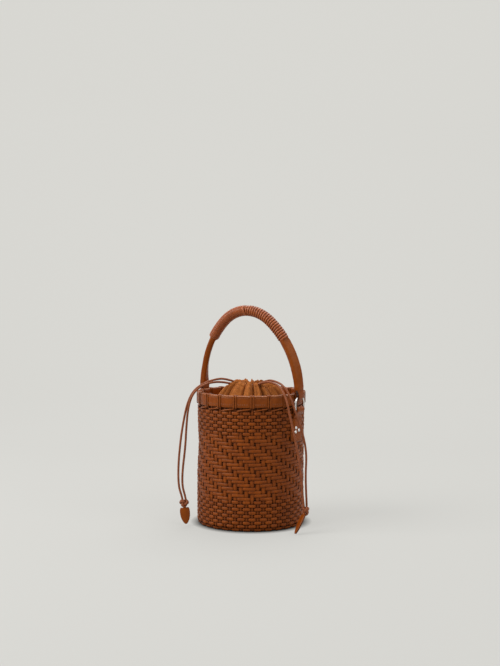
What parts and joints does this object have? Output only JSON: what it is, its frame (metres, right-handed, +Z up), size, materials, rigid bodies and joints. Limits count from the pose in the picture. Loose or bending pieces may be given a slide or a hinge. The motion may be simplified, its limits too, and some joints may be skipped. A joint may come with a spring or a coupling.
{
  "type": "bucket bag",
  "caption": "Round woven-leather bucket bag with laced rim, drawstring pouch, arched wrapped handle on D-rings, and hanging drawstring tabs.",
  "frame": {"origin": "centre of the base, on the surface that the bag stands on", "axes": "+Z up; X runs through the two D-rings and the handle's arch; the front faces -Y"},
  "size_m": [0.1938, 0.1629, 0.3041],
  "materials": {
    "woven_leather": "woven strips, lightly waxed",
    "smooth_leather": "smooth vegetable-tanned leather, satin",
    "lacing": "narrow lacing, satin",
    "pouch": "brushed suede-like cotton",
    "cord": "round leather cord, satin",
    "hardware": "polished nickel",
    "board": "pressed fibre board, hidden",
    "rope_core": "cotton rope, hidden"
  },
  "bodies": {
    "bag": {"woven_wall": "woven_leather", "base_panel": "smooth_leather", "base_board": "board", "rim_band": "smooth_leather", "rim_facing": "smooth_leather", "rim_edge": "smooth_leather", "rim_bindings": "lacing", "whip_lace": "lacing", "pouch_lining": "pouch", "pouch_collar": "pouch", "casing_cord_left": "cord", "casing_cord_right": "cord", "chape_left": "smooth_leather", "chape_right": "smooth_leather", "anchor_patch_left": "smooth_leather", "anchor_patch_right": "smooth_leather", "rivets_left": "hardware", "rivets_right": "hardware", "cord_left_rear": "cord", "cord_left_front": "cord", "cord_right_front": "cord", "cord_right_rear": "cord", "knot_left": "cord", "knot_right": "cord", "tab_left": "smooth_leather", "tab_right": "smooth_leather"},
    "handle": {"handle_core": "rope_core", "handle_sheath": "smooth_leather", "handle_wrap": "lacing", "handle_end_left": "smooth_leather", "handle_end_right": "smooth_leather"},
    "ring_left": {"ring_left": "hardware"},
    "ring_right": {"ring_right": "hardware"}
  },
  "joints": [
    {"name": "handle_swing", "type": "hinge", "parent": "bag", "child": "handle", "pos_m": [0, 0, 0.1705], "axis": [1, 0, 0], "range_deg": [-60, 27]},
    {"name": "ring_left_tilt", "type": "hinge", "parent": "bag", "child": "ring_left", "pos_m": [-0.0806, 0, 0.1635], "axis": [0, 1, 0], "range_deg": [-2.4, 2.4]},
    {"name": "ring_right_tilt", "type": "hinge", "parent": "bag", "child": "ring_right", "pos_m": [0.0806, 0, 0.1635], "axis": [0, 1, 0], "range_deg": [-2.4, 2.4]}
  ]
}
